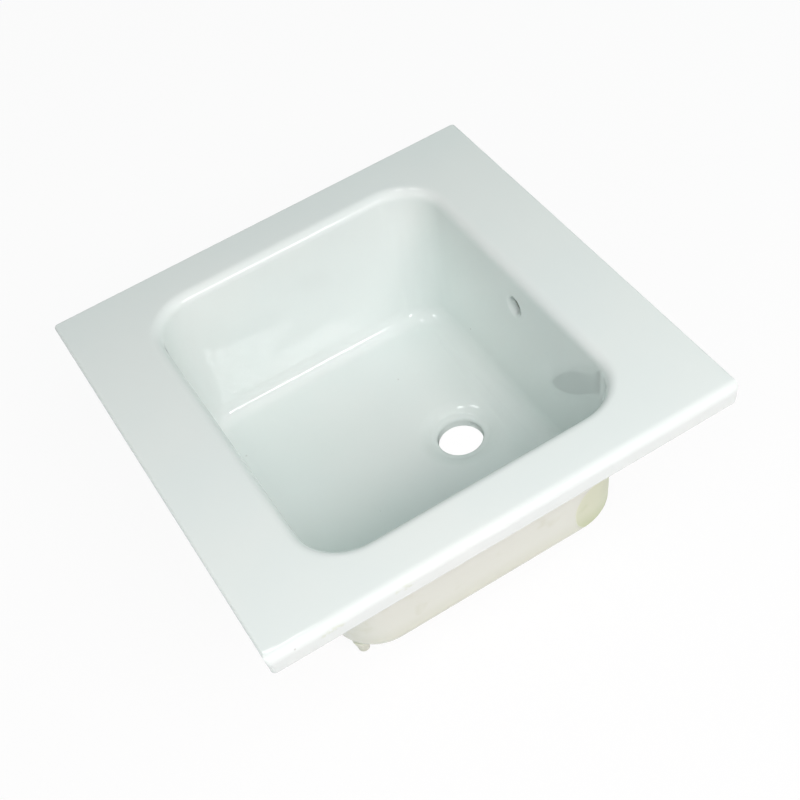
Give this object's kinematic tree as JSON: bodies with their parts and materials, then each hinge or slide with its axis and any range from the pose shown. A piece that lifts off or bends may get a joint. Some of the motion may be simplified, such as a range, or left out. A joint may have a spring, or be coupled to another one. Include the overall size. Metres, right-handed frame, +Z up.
{
  "type": "ceramic kitchen sink",
  "caption": "Square inset kitchen sink in white glazed ceramic: one deep bowl with a round drain hole and an overflow, a rounded front nose, and swinging clamps under the deck.",
  "frame": {"origin": "on the floor that the feet and the drain boss stand on, under the centre of the deck", "axes": "+Z up, +X along the front edge towards the overflow wall, +Y from the rounded front nose to the back"},
  "size_m": [0.5994, 0.6037, 0.24],
  "materials": {
    "glaze": "glossy white glaze",
    "biscuit": "bare fired clay",
    "foam": "closed-cell foam",
    "nylon": "natural nylon",
    "screw_steel": "bright zinc plate",
    "bracket_steel": "galvanised strip"
  },
  "bodies": {
    "sink": {"sink_body": "glaze", "overflow_duct": "biscuit", "foot_front_left": "biscuit", "foot_back_left": "biscuit", "seal_front": "foam", "seal_back": "foam", "seal_left": "foam", "seal_right": "foam", "clamp_plug_front_left": "nylon", "clamp_plug_front_right": "nylon", "clamp_plug_back_left": "nylon", "clamp_plug_back_right": "nylon"},
    "screw_front_left": {"clamp_screw_front_left": "screw_steel", "clamp_washer_front_left": "screw_steel"},
    "bracket_front_left": {"clamp_bracket_front_left": "bracket_steel"},
    "screw_front_right": {"clamp_screw_front_right": "screw_steel", "clamp_washer_front_right": "screw_steel"},
    "bracket_front_right": {"clamp_bracket_front_right": "bracket_steel"},
    "screw_back_left": {"clamp_screw_back_left": "screw_steel", "clamp_washer_back_left": "screw_steel"},
    "bracket_back_left": {"clamp_bracket_back_left": "bracket_steel"},
    "screw_back_right": {"clamp_screw_back_right": "screw_steel", "clamp_washer_back_right": "screw_steel"},
    "bracket_back_right": {"clamp_bracket_back_right": "bracket_steel"}
  },
  "joints": [
    {"name": "tighten_front_left", "type": "slide", "parent": "sink", "child": "screw_front_left", "axis": [0, 0, 1], "range_m": [0, 0.012]},
    {"name": "swing_front_left", "type": "hinge", "parent": "screw_front_left", "child": "bracket_front_left", "pos_m": [-0.25, -0.15, 0.156], "axis": [0, 0, 1], "range_deg": [0, 90]},
    {"name": "tighten_front_right", "type": "slide", "parent": "sink", "child": "screw_front_right", "axis": [0, 0, 1], "range_m": [0, 0.012]},
    {"name": "swing_front_right", "type": "hinge", "parent": "screw_front_right", "child": "bracket_front_right", "pos_m": [0.25, -0.15, 0.156], "axis": [0, 0, -1], "range_deg": [0, 90]},
    {"name": "tighten_back_left", "type": "slide", "parent": "sink", "child": "screw_back_left", "axis": [0, 0, 1], "range_m": [0, 0.012]},
    {"name": "swing_back_left", "type": "hinge", "parent": "screw_back_left", "child": "bracket_back_left", "pos_m": [-0.25, 0.15, 0.156], "axis": [0, 0, -1], "range_deg": [0, 90]},
    {"name": "tighten_back_right", "type": "slide", "parent": "sink", "child": "screw_back_right", "axis": [0, 0, 1], "range_m": [0, 0.012]},
    {"name": "swing_back_right", "type": "hinge", "parent": "screw_back_right", "child": "bracket_back_right", "pos_m": [0.25, 0.15, 0.156], "axis": [0, 0, 1], "range_deg": [0, 90]}
  ]
}
